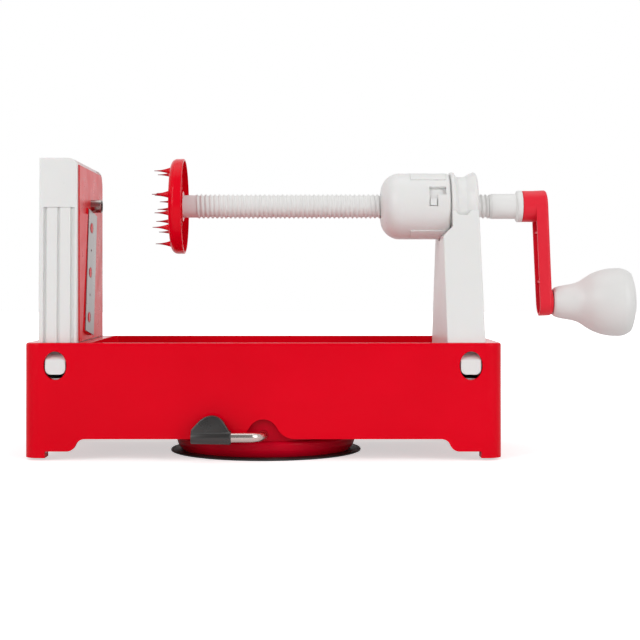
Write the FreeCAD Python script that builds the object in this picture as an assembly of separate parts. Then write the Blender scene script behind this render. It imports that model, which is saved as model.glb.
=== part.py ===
import FreeCAD, Part
import math
import os

# Hand-cranked spiral slicer: a moulded base on a suction cup, a blade tower, a crank tower
# and a screw shaft that pushes the food onto the blade.
# Millimetres. The table is z = 0, the middle of the suction cup is x = y = 0,
# the crank end is +X and the lever side is -Y.

V = FreeCAD.Vector

# ---------------------------------------------------------------- driving dimensions

# Clearances
slip = 0.25               # between parts that drop into each other
run_fit = 0.05            # radial, round part turning in a round hole
free_gap = 0.3            # between parts that pass each other
bed = 0.5                 # joined pieces sink this far into each other

# Base
foot_clear = 1.5          # the feet hang this far above the table beside the cup
base_length = 284.0
base_width = 115.0
base_height = 68.2        # feet to rim
base_wall = 3.0
base_corner_r = 9.5
rim_round = 1.4
foot_size = 12.7
foot_pad = 2.5
ledge_length = 13.0
ledge_height = 3.9
skirt_height = 11.2
skirt_curve = 10.6
floor_height = 28.5       # underside of the floor above the feet
floor_thickness = 2.5
deck_thickness = 3.0
tray_left_margin = 6.5    # deck between the blade plate and the tray
tray_corner_r = 4.0
partition_drop = 6.0      # the partition at the crank tower ends this far below the rim
arch_radius = 9.2
arch_height = 22.9        # top of the lever arch above the feet
arch_flare = 12.0
latch_hole_width = 13.6
latch_hole_height = 16.9
latch_hole_z = 54.7       # centre above the feet
latch_end_inset = 18.8    # from the base's ends to the latches
rib_thickness = 2.0
rib_depth = 9.0
rib_end_inset = 34.0      # from the base's ends to the outer cross ribs
rib_pitch = 30.0
rib_side_y = 28.0

# Towers
tower_thickness = 22.8
blade_tower_inset = 8.1   # from the base's end to the tower's outer face
crank_tower_inset = 9.6
tower_side_gap = 1.5      # base's inner walls to the towers' sides
tower_skin = 3.0
tower_edge = 0.8          # rounding of the towers' outer edges
insert_room = 4.3         # hollow of a tower reaches this far above the rim

blade_tower_height = 178.6    # above the feet
blade_tower_taper = 3.5   # each side leans in this much by the top
blade_tower_top_round = 5.5
window_corner_r = 6.0
window_margin = 8.5       # blade plate's side to the exit window
window_bottom = 7.0       # above the rim
window_top = 16.0         # below the tower's top
panel_top = 149.0         # top of the ribbed recess above the feet
panel_inset = 2.7         # from the tower's outer face
panel_width = 18.4
panel_depth = 1.6
panel_strip = 6.2
panel_strip_gap = 1.9

# Shaft axis and head of the crank tower
axis_height = 152.1       # above the feet
head_radius = 21.5
head_groove_radius = 18.5
head_length = 16.6
head_flange = 2.4         # width of the flange beside the collar
head_groove_start = 4.1   # from the head's collar end
head_groove_end = 9.5
head_ridge = 14.6         # the outer ridge's crest
tongue_bottom = 6.4       # the groove runs down the leg's sides to this far below the axis
tongue_width = 8.5
tongue_corner_r = 3.0
flank_meet_drop = 3.6     # the leg's flanks run into the head this far below the axis
shoulder_drop = 13.5      # top of the leg's sloping shoulder below the axis
collar_pocket_gap = 1.0   # leg to collar
barrel_radius = 18.25
barrel_length = 32.3
barrel_chamfer = 1.0
head_edge = 0.4           # rounding of the head's flange
groove_hollow = 0.3       # the head's groove is this much deeper in its middle
ridge_hollow = 0.62       # share of the rise that the head's cone has reached half way

# Screw shaft
pitch = 2.85
crest_radius = 7.6
thread_depth = 0.9
groove_half_width = 0.85
thread_length = 185.4
thread_overhang = 9.3     # the thread ends this far outside the crank tower
neck_length = 10.8
neck_radius = 7.1
plain_radius = 7.9
plain_length = 15.8
flange_radius = 9.95
flange_length = 3.9
spigot_flats = 11.0
spigot_length = 6.6
tie_radius = 3.0
head_bore_fit = 0.08      # radial, plain end of the shaft in the tower's head

# Spiked disc
disc_radius = 30.0
disc_depth = 8.2
disc_round = 4.0
disc_rim = 1.2
disc_floor = 2.2
disc_hub_radius = 9.5
spike_length = 10.2
spike_radius = 2.2
spike_waist = 0.95        # radius at 0.4 of the length
spike_tip = 0.2
spike_rings = ((9.5, 5, -80.0), (23.7, 7, -92.5))   # radius, count, first angle
tie_head_radius = 5.0
tie_head_length = 2.8

# Release collar and split nut
collar_radius = 20.8
collar_wall = 2.2
collar_length = 42.5
collar_round = 12.0
collar_gap = 0.9          # collar to the flange of the head
collar_hole_gap = 0.7     # shaft crest to the hole in the collar's end
collar_turn = 20.0        # degrees from locked to released
pad_height = 0.5
pad_width = 8.0
pad_length = 22.0
pad_inset = 2.4           # from the collar's open end
collar_edge = 0.8
pad_angle = 60.0
lug_inset = 12.7          # from the collar's open end
lug_length = 4.4
lug_angle = 13.0
lug_centre_angle = 5.4    # above the horizontal
lug_radius = 19.9
slot_gap = 0.4
slot_run = 5.2            # along the shaft, from the turning leg towards the tower
nut_length = 13.4
nut_inset = 3.8           # barrel end to nut
nut_pad_inset = 0.6
cam_inset = 0.2
nut_half_width = 11.7
nut_shoulder = 13.0
nut_pad_half_width = 2.9
nut_pad_radius = 17.0
nut_lift = 1.3
cam_radius = 17.3
nut_spring_radius = 1.0
nut_spring_wire = 0.35
nut_spring_turns = 5
nut_spring_seat = 4.4     # depth of the springs' blind holes from the shaft axis
nut_part_gap = 0.8
nut_thread_depth = 0.8

# Crank
crank_radius = 60.5
arm_top_radius = 9.9
arm_end_radius = 8.8
arm_thickness = 7.7
arm_lean = 2.5            # degrees, outwards
arm_wall = 1.7
arm_web = 2.0
arm_rib = 1.3
arm_edge = 1.6            # rounding of the arm's outer face
hub_edge = 0.5
arm_rib_heights = (-16.6, -47.8)   # from the shaft axis
hub_length = 7.9
nut_pocket_depth = 3.4
nut_flats = 8.0
boss_radius = 7.8
boss_length = 1.03
knob_length = 51.9
knob_radius = 21.5
knob_neck_radius = 9.3
knob_gap = 0.4
pin_radius = 3.0
pin_head_radius = 4.8
pin_head_length = 2.0
plug_radius = 6.4
plug_depth = 3.0
knob_dome = 3.6           # height of the domed end
knob_edge = 2.6           # widest radius to the dome's rim

# Suction cup, its housing and the lever
cup_reach = 3.65          # the cup's edge stands this far out of its housing
cup_lip = 0.5
cup_flange = 1.4
cup_flange_width = 6.2    # flat of the flange inside the housing's widest line
cup_flange_over = 1.0     # and outside it
cup_crown = 3.2
cup_skin = 1.2            # rubber under the stem
cup_hub_radius = 9.0
cup_hub_top = 5.0
cup_hub_flare = 6.0       # the crown meets the hub over this run
cup_edge = 0.6            # rounding of the cup's lower edge
housing_inset = 1.3       # base's front wall to the housing's widest line
housing_taper = 3.0       # the foot is drawn in this much
housing_top = 11.0
housing_plate = 2.5
housing_wall = 2.4
housing_inner_step = 1.5  # the housing's wall thickens this much under its plate
housing_bulge = 4.2       # the flank is widest this far above the cup's flange
housing_bead = 0.6        # bulge of the flank and of the rounded rim
housing_hole_radius = 14.0
shroud_inset = 2.6        # housing's widest line to the curved wall behind the lever arch
shroud_wall = 2.2
shroud_half_angle = 32.0
shroud_gap = 0.5          # below the base's floor
screw_inset = 9.5         # housing's widest line to the screws
boss_post_radius = 4.0
screw_radius = 1.6
screw_head_radius = 3.2
screw_head_length = 1.8
screw_length = 13.0
lever_height = 14.7
rod_radius = 2.95
rod_throw = 2.5
rod_throw_half = 9.0      # half length of the cranked stretch
rod_slope = 5.0           # length over which it steps out
rod_bend_radius = 9.0
lever_stand_off = 8.5     # base's front wall to the middle of the rod
rod_end_x = -40.0
rod_tail = 27.5
bearing_y = 22.0
bearing_length = 7.0
bearing_half_width = 10.5
bearing_cap_height = 4.6
bearing_gap = 0.2
bearing_screw_x = 7.2
bearing_screw_radius = 1.2
bearing_screw_head = 2.3
bearing_screw_head_length = 1.5
stem_radius = 4.0
stem_width = 7.6
stem_bar = 1.9
stem_side = 2.2
stem_room = 0.9           # the cranked rod's play in the stem's eye
washer_radius = 12.0
washer_thickness = 1.4
handle_left_x = -42.1
handle_right_x = -18.5
handle_tab_height = 13.7  # above the rod
handle_tab_thickness = 5.0
handle_sleeve_radius = 4.2
handle_left_shoulder = 4.6    # the tab's left side ends this far above the rod
handle_left_run = 8.6         # from there the tab curves in this far to its flat top
handle_right_shoulder = 3.0
handle_right_run = 7.2
handle_corner_r = 1.2
handle_lip = 2.0          # the handle's lower corners are cut back this much
handle_fit = 0.02         # radial, handle pressed on the rod

# Latches
latch_width = 12.0
latch_arm = 2.0
latch_pivot_inset = 4.8   # tower's side to the pivot
latch_pivot_radius = 1.2
latch_pivot_overhang = 2.0
latch_tab_bottom = 49.4   # above the feet
latch_tab_top = 58.3      # above the feet
latch_recess = 0.9        # tab face below the wall's outer face
latch_ear = 2.4
latch_tab_corner = 3.4
latch_swing_room = 2.4    # the tab dips this much as it is pushed in
latch_pivot_drop = 0.7    # pivot below the rim
latch_side_gap = 0.4      # finger to the ears beside it
latch_window_drop = 2.2   # top of the finger's window below the rim
latch_ear_reach = 3.0     # the ears reach this far in from and below the pivot
latch_tab_slope = 1.2     # the tab's upper corner is cut back this much
latch_tab_rise = 4.6      # the tab runs into the arm this far above its top

# Blade plate
plate_margin = 6.5        # tower's side to the plate's side, at the foot
plate_thickness = 3.6
plate_proud = 0.7
plate_top = 174.5         # above the feet
plate_corner_r = 8.0
tongue = 1.2
tongue_thickness = 1.2
blade_lean = 10.6         # degrees, the strip against the vertical
strip_width = 22.0
strip_edge = 3.5          # cutting edge past the shaft axis
strip_thickness = 0.6
strip_length = 76.0
strip_start = 6.0         # below the shaft axis
strip_slope = 5.0         # degrees
seat_step = 1.0
seat_end = 2.0            # seat ends this far before the shaft axis
blade_slot_width = 13.5
stake_radius = 3.2
stake_pitch = 28.1
stake_first = 16.5        # below the shaft axis
small_hole_radius = 0.9
ramp_height = 1.4
ramp_top_y = -24.0
ramp_bottom_y = -39.0
tube_radius = 4.15
tube_wall = 0.5
tube_proud = 6.6

# ---------------------------------------------------------------- derived places

base_z = foot_clear
rim_z = base_z + base_height
floor_z0 = base_z + floor_height
floor_z1 = floor_z0 + floor_thickness
half_length = base_length / 2
half_width = base_width / 2
inner_half_width = half_width - base_wall
deck_z = rim_z - deck_thickness
axis_z = base_z + axis_height

tower_foot_width = 2 * (inner_half_width - tower_side_gap)
blade_tower_top_width = tower_foot_width - 2 * blade_tower_taper
plate_width = tower_foot_width - 2 * plate_margin
window_width = plate_width - 2 * window_margin
latch_x = half_length - latch_end_inset
latch_pivot_y = tower_foot_width / 2 - latch_pivot_inset
latch_pivot_z = rim_z - latch_pivot_drop
rod_front_y = -half_width - lever_stand_off

blade_x0 = -half_length + blade_tower_inset
blade_x1 = blade_x0 + tower_thickness
crank_x1 = half_length - crank_tower_inset
crank_x0 = crank_x1 - tower_thickness
tray_x0 = blade_x1 + plate_proud + tray_left_margin
partition_z = rim_z - partition_drop
insert_top = rim_z + insert_room

head_x0 = crank_x1 - head_length
collar_x1 = head_x0 - collar_gap
collar_x0 = collar_x1 - collar_length
collar_bore = collar_radius - collar_wall
barrel_x0 = head_x0 - barrel_length
nut_x0 = barrel_x0 + nut_inset
nut_x1 = nut_x0 + nut_length
shaft_bore = plain_radius + head_bore_fit
root_radius = crest_radius - thread_depth

thread_end_x = crank_x1 + thread_overhang
thread_start_x = thread_end_x - thread_length
plain_x1 = thread_end_x + plain_length
flange_x1 = plain_x1 + flange_length
neck_x0 = thread_start_x - neck_length
disc_left_x = neck_x0 - tie_head_length - disc_floor
disc_right_x = disc_left_x + disc_depth
hub_x0 = flange_x1 + 0.2
arm_x0 = hub_x0 + hub_length
arm_x1 = arm_x0 + arm_thickness
knob_z = axis_z - crank_radius
arm_shift = crank_radius * math.tan(math.radians(arm_lean))
boss_x1 = arm_x1 + arm_shift + boss_length
knob_x0 = boss_x1 + knob_gap
knob_x1 = knob_x0 + knob_length

housing_radius = half_width - housing_inset
housing_foot_radius = housing_radius - housing_taper
shroud_radius = housing_radius - shroud_inset
screw_circle = housing_radius - screw_inset
cup_radius = housing_radius + cup_reach
cup_flange_inner = housing_radius - cup_flange_width
housing_plate_z = housing_top - housing_plate
plate_x1 = blade_x1 + plate_proud
plate_x0 = plate_x1 - plate_thickness
plate_z0 = rim_z + 0.3
plate_z1 = base_z + plate_top

# ---------------------------------------------------------------- helpers


def box(x0, x1, y0, y1, z0, z1):
    return Part.makeBox(x1 - x0, y1 - y0, z1 - z0, V(x0, y0, z0))


def cyl_x(radius, x0, x1, y=0.0, z=0.0):
    return Part.makeCylinder(radius, x1 - x0, V(x0, y, z), V(1, 0, 0))


def cyl_y(radius, y0, y1, x=0.0, z=0.0):
    return Part.makeCylinder(radius, y1 - y0, V(x, y0, z), V(0, 1, 0))


def cyl_z(radius, z0, z1, x=0.0, y=0.0):
    return Part.makeCylinder(radius, z1 - z0, V(x, y, z0), V(0, 0, 1))


def wire_of(points):
    """Closed wire through points; a point triple (a, b, c) inside the list is an arc."""
    edges = []
    last = None
    first = None
    for item in points:
        if isinstance(item, tuple):
            start, middle, end = item
            if last is not None and last.distanceToPoint(start) > 1e-6:
                edges.append(Part.LineSegment(last, start).toShape())
            edges.append(Part.Arc(start, middle, end).toShape())
        else:
            start = item
            end = item
            if last is not None and last.distanceToPoint(item) > 1e-6:
                edges.append(Part.LineSegment(last, item).toShape())
        if first is None:
            first = start
        last = end
    if last.distanceToPoint(first) > 1e-6:
        edges.append(Part.LineSegment(last, first).toShape())
    return Part.Wire(edges)


def prism(points, direction):
    return Part.Face(wire_of(points)).extrude(direction)


def prism_x(yz, x0, x1):
    return prism([V(x0, y, z) for y, z in yz], V(x1 - x0, 0, 0))


def prism_y(xz, y0, y1):
    return prism([V(x, y0, z) for x, z in xz], V(0, y1 - y0, 0))


def prism_z(xy, z0, z1):
    return prism([V(x, y, z0) for x, y in xy], V(0, 0, z1 - z0))


def arc_points(centre_a, centre_b, radius, start, end, make):
    """Arc triple about a centre; make turns two plane coordinates into a vector."""
    triple = []
    for angle in (start, (start + end) / 2, end):
        turn = math.radians(angle)
        triple.append(make(centre_a + radius * math.cos(turn), centre_b + radius * math.sin(turn)))
    return tuple(triple)


def turned_about_shaft(points):
    """Solid of revolution about the shaft axis from (x, radius) vectors in the XZ plane."""
    face = Part.Face(wire_of(points))
    solid = face.revolve(V(0, 0, 0), V(1, 0, 0), 360)
    solid.translate(V(0, 0, axis_z))
    return solid


def turned_about_z(points):
    return Part.Face(wire_of(points)).revolve(V(0, 0, 0), V(0, 0, 1), 360)


def xr(x, radius):
    return V(x, 0, radius)


def sector(r0, r1, x0, x1, start, end):
    """Ring segment about the shaft axis; angles run from +Y towards +Z."""
    def place(y, z):
        return V(x0, y, axis_z + z)
    outer = arc_points(0, 0, r1, start, end, place)
    inner = arc_points(0, 0, r0, end, start, place)
    return prism([outer, inner], V(x1 - x0, 0, 0))


def hexagon_x(flats, x0, x1):
    corner = flats / math.sqrt(3)
    points = []
    for step in range(6):
        turn = math.radians(60 * step)
        points.append((corner * math.cos(turn), axis_z + corner * math.sin(turn)))
    return prism_x(points, x0, x1)


def fuse_all(shapes):
    return shapes[0].multiFuse(shapes[1:]).removeSplitter()


def cut_all(shape, tools):
    return shape.cut(Part.makeCompound(tools))


def rounded_box(x0, x1, y0, y1, z0, z1, radius):
    solid = box(x0, x1, y0, y1, z0, z1)
    upright = [e for e in solid.Edges if abs(e.tangentAt(e.FirstParameter).z) > 0.9]
    return solid.makeFillet(radius, upright)


def mirror_y(shape):
    return shape.mirror(V(0, 0, 0), V(0, 1, 0))


def turn_half_about_shaft(shape):
    copy = shape.copy()
    copy.rotate(V(0, 0, axis_z), V(1, 0, 0), 180)
    return copy


# ---------------------------------------------------------------- base


def skirt_profile(reach, at, low):
    """Outline of the cut under a wall: foot, ledge, S-shaped rise and long lower edge."""
    foot_in = reach - foot_size
    ledge_in = foot_in - ledge_length
    high_in = ledge_in - skirt_curve
    ledge_z = base_z + ledge_height
    high_z = base_z + skirt_height
    half_run = skirt_curve / 2
    half_rise = (high_z - ledge_z) / 2
    swing = 2 * math.atan2(half_rise, half_run)
    radius = half_run / math.sin(swing)
    half = swing / 2
    middle_x = ledge_in - half_run
    middle_z = ledge_z + half_rise
    low_arc_x = ledge_in - radius * math.sin(half)
    low_arc_z = ledge_z + radius * (1 - math.cos(half))
    high_arc_x = high_in + radius * math.sin(half)
    high_arc_z = high_z - radius * (1 - math.cos(half))
    right = [
        at(foot_in, low),
        at(foot_in, ledge_z),
        (at(ledge_in, ledge_z), at(low_arc_x, low_arc_z), at(middle_x, middle_z)),
        (at(middle_x, middle_z), at(high_arc_x, high_arc_z), at(high_in, high_z)),
    ]
    left = [
        (at(-high_in, high_z), at(-high_arc_x, high_arc_z), at(-middle_x, middle_z)),
        (at(-middle_x, middle_z), at(-low_arc_x, low_arc_z), at(-ledge_in, ledge_z)),
        at(-foot_in, ledge_z),
        at(-foot_in, low),
    ]
    return right + left


def latch_oval(x, inset, y_far):
    """Oval bar along Y through the latch holes at x, drawn in by inset."""
    ellipse = Part.Ellipse(V(0, 0, 0), latch_hole_height / 2 - inset, latch_hole_width / 2 - inset)
    oval = Part.Face(Part.Wire(ellipse.toShape())).extrude(V(0, 0, 2 * y_far))
    oval.rotate(V(0, 0, 0), V(0, 0, 1), 90)
    oval.rotate(V(0, 0, 0), V(1, 0, 0), 90)
    oval.translate(V(x, y_far, base_z + latch_hole_z))
    return oval


def lever_arch():
    """Bell-shaped cut in the front wall: a round top that flares into the lower edge."""
    centre_z = base_z + arch_height - arch_radius
    skirt_z = base_z + skirt_height
    flare_z = skirt_z + arch_flare
    flare_x = math.sqrt((arch_radius + arch_flare) ** 2 - (flare_z - centre_z) ** 2)
    turn = math.degrees(math.atan2(flare_z - centre_z, flare_x))
    low = skirt_z - 2.0

    def at(x, z):
        return V(x, -half_width - 1, z)
    outline = [
        at(flare_x, low),
        arc_points(flare_x, flare_z, arch_flare, 270, 180 + turn, at),
        arc_points(0, centre_z, arch_radius, turn, 180 - turn, at),
        arc_points(-flare_x, flare_z, arch_flare, -turn, -90, at),
        at(-flare_x, low),
    ]
    return prism(outline, V(0, base_wall + 2, 0))


def base_tray():
    shell = rounded_box(-half_length, half_length, -half_width, half_width,
                        base_z, rim_z, base_corner_r)
    rim_edges = [e for e in shell.Edges if e.BoundBox.ZMin > rim_z - 0.01]
    shell = shell.makeFillet(rim_round, rim_edges)
    inner_r = base_corner_r - base_wall
    inner_x = half_length - base_wall

    under = rounded_box(-inner_x, inner_x, -inner_half_width, inner_half_width,
                        base_z - 1, floor_z0, inner_r)
    # Behind the tray's right end a low partition stands under the crank tower's face.
    socket_x = crank_x0 - slip
    tray = rounded_box(tray_x0, socket_x - base_wall, -inner_half_width, inner_half_width,
                       floor_z1, rim_z + 1, tray_corner_r)
    over_partition = box(socket_x - base_wall - tray_corner_r, socket_x, -inner_half_width,
                         inner_half_width, partition_z, rim_z + 1)
    left_room = box(-inner_x, tray_x0 - base_wall, -inner_half_width, inner_half_width,
                    floor_z1, deck_z)
    right_room = box(socket_x, inner_x, -inner_half_width, inner_half_width, floor_z1, deck_z)

    half_foot = tower_foot_width / 2
    openings = []
    for x0, x1 in ((blade_x0, plate_x1), (crank_x0, crank_x1)):
        openings.append(box(x0 - slip, x1 + slip, -half_foot - slip, half_foot + slip,
                            deck_z - 1, rim_z + 1))

    def front(x, z):
        return V(x, -half_width - 1, z)

    def side(y, z):
        return V(-half_length - 1, y, z)
    skirt_front = prism(skirt_profile(half_length, front, base_z - 1), V(0, base_width + 2, 0))
    skirt_side = prism(skirt_profile(half_width, side, base_z - 1), V(base_length + 2, 0, 0))
    holes = [latch_oval(-latch_x, 0, base_width), latch_oval(latch_x, 0, base_width)]
    body = cut_all(shell, [under, tray, over_partition, left_room, right_room, skirt_front,
                           skirt_side, lever_arch()] + openings + holes)
    pieces = [body]
    for sx in (-1, 1):
        for sy in (-1, 1):
            pad = rounded_box(-half_length, -half_length + foot_size, -half_width,
                              -half_width + foot_size, base_z, base_z + foot_pad, 1.0)
            corner = rounded_box(-half_length, half_length, -half_width, half_width,
                                 base_z, base_z + foot_pad, base_corner_r)
            pad = pad.common(corner)
            if sx > 0:
                pad = pad.mirror(V(0, 0, 0), V(1, 0, 0))
            if sy > 0:
                pad = mirror_y(pad)
            pieces.append(pad)

    # Stiffening ribs under the floor, and posts that carry the suction housing.
    rib_low = floor_z0 - rib_depth
    outer_rib_x = half_length - rib_end_inset
    inner_rib_x = outer_rib_x - rib_pitch
    for x in (-outer_rib_x, -inner_rib_x, inner_rib_x, outer_rib_x):
        pieces.append(box(x - rib_thickness / 2, x + rib_thickness / 2,
                          -inner_half_width - bed, inner_half_width + bed,
                          rib_low, floor_z0 + bed))
    for y in (-rib_side_y, rib_side_y):
        for sx in (-1, 1):
            x0, x1 = sorted((sx * (cup_radius + rib_thickness), sx * (inner_x + bed)))
            pieces.append(box(x0, x1, y - rib_thickness / 2, y + rib_thickness / 2,
                              rib_low, floor_z0 + bed))
    for x, y in screw_places():
        pieces.append(cyl_z(boss_post_radius, housing_top, floor_z0 + bed, x, y))
    body = fuse_all(pieces)
    pilots = [cyl_z(screw_radius + run_fit, housing_top - 1, floor_z0 - 2, x, y)
              for x, y in screw_places()]
    return cut_all(body, pilots)


def screw_places():
    places = []
    for step in range(4):
        turn = math.radians(45 + 90 * step)
        places.append((screw_circle * math.cos(turn), screw_circle * math.sin(turn)))
    return places


# ---------------------------------------------------------------- suction cup and lever


def suction_cup():
    points = [
        V(0, 0, cup_skin),
        V(0, 0, 0),
        V(cup_radius - cup_edge, 0, 0),
        V(cup_radius, 0, cup_lip),
        V(housing_radius + cup_flange_over, 0, cup_flange),
        V(cup_flange_inner, 0, cup_flange),
        V(cup_hub_radius + cup_hub_flare, 0, cup_crown),
        V(cup_hub_radius, 0, cup_hub_top),
        V(stem_radius + run_fit, 0, cup_hub_top),
        V(stem_radius + run_fit, 0, cup_skin),
    ]
    return turned_about_z(points)


def suction_housing():
    plate_under = housing_plate_z
    wall = housing_wall
    outer = [
        V(housing_hole_radius, 0, housing_top),
        V(housing_hole_radius, 0, plate_under),
        V(housing_radius - wall - housing_inner_step, 0, plate_under),
        V(housing_foot_radius - wall, 0, cup_flange),
        V(housing_foot_radius, 0, cup_flange),
        (V(housing_foot_radius, 0, cup_flange),
         V(housing_radius - housing_bead, 0, cup_flange + housing_bulge),
         V(housing_radius, 0, plate_under)),
        (V(housing_radius, 0, plate_under),
         V(housing_radius - housing_bead, 0, housing_top - housing_bead),
         V(housing_radius - wall, 0, housing_top)),
    ]
    body = turned_about_z(outer)
    blocks = []
    for y in (-bearing_y, bearing_y):
        blocks.append(box(-bearing_half_width, bearing_half_width, y - bearing_length / 2,
                          y + bearing_length / 2, housing_top - bed, lever_height - bearing_gap / 2))
    body = fuse_all([body, lever_shroud()] + blocks)
    tools = [cyl_y(rod_radius + run_fit, rod_front_y, bearing_y * 2, 0, lever_height)]
    for x, y in screw_places():
        tools.append(cyl_z(screw_radius + run_fit, plate_under - 1, housing_top + 1, x, y))
    for x, y in bearing_screw_places():
        tools.append(cyl_z(bearing_screw_radius + run_fit, housing_top - 1.5, lever_height, x, y))
    return cut_all(body, tools)


def lever_shroud():
    """Curved wall that closes the arch behind the base's front wall; the rod passes through it."""
    z0 = housing_top - bed

    def at(x, y):
        return V(x, y, z0)
    first = 270 - shroud_half_angle
    last = 270 + shroud_half_angle
    outer = arc_points(0, 0, shroud_radius, first, last, at)
    inner = arc_points(0, 0, shroud_radius - shroud_wall, last, first, at)
    return prism([outer, inner], V(0, 0, floor_z0 - shroud_gap - z0))


def bearing_screw_places():
    return [(sx * bearing_screw_x, sy * bearing_y) for sx in (-1, 1) for sy in (-1, 1)]


def bearing_caps():
    caps = []
    top = lever_height + bearing_gap / 2 + bearing_cap_height
    for y in (-bearing_y, bearing_y):
        cap = box(-bearing_half_width, bearing_half_width, y - bearing_length / 2,
                  y + bearing_length / 2, lever_height + bearing_gap / 2, top)
        tools = [cyl_y(rod_radius + run_fit, y - bearing_length, y + bearing_length,
                       0, lever_height)]
        for sx in (-1, 1):
            tools.append(cyl_z(bearing_screw_radius + run_fit, lever_height, top + 1,
                               sx * bearing_screw_x, y))
        caps.append(cut_all(cap, tools))
    return Part.makeCompound(caps)


def screw(radius, length, head_radius, head_length):
    """Pan-head screw, head on top, shank going down from z = 0."""
    head = cyl_z(head_radius, 0, head_length)
    edges = [e for e in head.Edges if e.BoundBox.ZMin > head_length - 0.01]
    head = head.makeFillet(head_length * 0.4, edges)
    shank = cyl_z(radius, -length, 0)
    body = head.fuse(shank).removeSplitter()
    arm = head_radius * 0.6
    slot = 0.35
    depth = head_length * 0.5
    cross = [box(-arm, arm, -slot, slot, head_length - depth, head_length + 1),
             box(-slot, slot, -arm, arm, head_length - depth, head_length + 1)]
    return cut_all(body, cross)


def bearing_screws():
    top = lever_height + bearing_gap / 2 + bearing_cap_height
    screws = []
    for x, y in bearing_screw_places():
        one = screw(bearing_screw_radius, top - housing_top + 1,
                    bearing_screw_head, bearing_screw_head_length)
        one.translate(V(x, y, top))
        screws.append(one)
    return Part.makeCompound(screws)


def housing_screws():
    screws = []
    for x, y in screw_places():
        one = screw(screw_radius, screw_length, screw_head_radius, screw_head_length)
        one.rotate(V(0, 0, 0), V(1, 0, 0), 180)
        one.translate(V(x, y, housing_plate_z))
        screws.append(one)
    return Part.makeCompound(screws)


def rod_run(start, end):
    direction = end.sub(start)
    return Part.makeCylinder(rod_radius, direction.Length, start, direction)


def lever_rod():
    z = lever_height
    bend = rod_bend_radius
    front = rod_run(V(rod_end_x, rod_front_y, z), V(-bend, rod_front_y, z))
    circle = Part.makeCircle(rod_radius, V(-bend, rod_front_y, z), V(1, 0, 0))
    corner = Part.Face(Part.Wire(circle)).revolve(V(-bend, rod_front_y + bend, z), V(0, 0, 1), 90)
    step = rod_throw_half
    far = rod_throw_half + rod_slope
    path = [V(0, rod_front_y + bend, z), V(0, -far, z), V(0, -step, z - rod_throw),
            V(0, step, z - rod_throw), V(0, far, z), V(0, rod_tail, z)]
    pieces = [front, corner]
    for start, end in zip(path[:-1], path[1:]):
        pieces.append(rod_run(start, end))
    for knee in path[1:-1]:
        pieces.append(Part.makeSphere(rod_radius, knee))
    return fuse_all(pieces)


def lever_handle():
    """Thumb tab on a sleeve; the tab's flat top lies towards its left side."""
    z = lever_height
    y0 = rod_front_y - handle_tab_thickness / 2
    top = z + handle_tab_height
    left = handle_left_x
    right = handle_right_x
    shoulder = z + handle_left_shoulder
    bow = 1 - math.sqrt(0.5)

    def at(x, zz):
        return V(x, y0, zz)
    outline = [
        at(left, z - handle_lip),
        at(right - handle_lip, z - handle_sleeve_radius),
        at(right, z - handle_lip),
        at(right, z + handle_right_shoulder),
        at(right - handle_right_run, top),
        (at(left + handle_left_run, top),
         at(left + handle_left_run * bow, top - (top - shoulder) * bow),
         at(left, shoulder)),
    ]
    tab = prism(outline, V(0, handle_tab_thickness, 0))
    corners = []
    for edge in tab.Edges:
        bounds = edge.BoundBox
        if bounds.YLength > 1 and bounds.XMin > left + handle_left_run and bounds.ZMin > z:
            corners.append(edge)
    tab = tab.makeFillet(handle_corner_r, corners)
    sleeve = cyl_x(handle_sleeve_radius, left, right, rod_front_y, z)
    body = fuse_all([tab, sleeve])
    hole = cyl_x(rod_radius + handle_fit, rod_end_x - run_fit, right + 1, rod_front_y, z)
    return body.cut(hole)


def cup_stem():
    rod_z = lever_height - rod_throw
    eye_half = rod_radius + stem_room
    eye_reach = rod_radius + rod_throw + 0.5
    low = rod_z - eye_half - stem_bar
    top = rod_z + eye_half + stem_bar
    outer = eye_reach + stem_side
    eye = box(-outer, outer, -stem_width / 2, stem_width / 2, low, top)
    window = box(-eye_reach, eye_reach, -stem_width, stem_width, rod_z - eye_half, rod_z + eye_half)
    post = cyl_z(stem_radius, cup_skin + free_gap, low + 1)
    return fuse_all([eye.cut(window), post])


def cup_washer():
    z0 = cup_hub_top + 0.05
    ring = cyl_z(washer_radius, z0, z0 + washer_thickness)
    return ring.cut(cyl_z(stem_radius + run_fit, 0, z0 + 10))


# ---------------------------------------------------------------- towers


def latch_window(x):
    z0 = base_z + latch_tab_bottom - latch_swing_room
    z1 = rim_z - latch_window_drop
    half = latch_width / 2 + latch_side_gap
    return box(x - half, x + half,
               -tower_foot_width / 2 - 1, -tower_foot_width / 2 + tower_skin + 1, z0, z1)


def latch_ears(x):
    ears = []
    for sx in (-1, 1):
        near = x + sx * (latch_width / 2 + latch_side_gap)
        far = near + sx * latch_ear
        x0, x1 = sorted((near, far))
        ears.append(box(x0, x1, -tower_foot_width / 2 + tower_skin - bed, -latch_pivot_y + latch_ear_reach,
                        latch_pivot_z - latch_ear_reach, insert_top + bed))
    return ears


def latch_pivot_hole(x):
    reach = latch_width / 2 + latch_pivot_overhang + 0.1
    return cyl_x(latch_pivot_radius + run_fit, x - reach, x + reach, -latch_pivot_y, latch_pivot_z)


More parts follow.
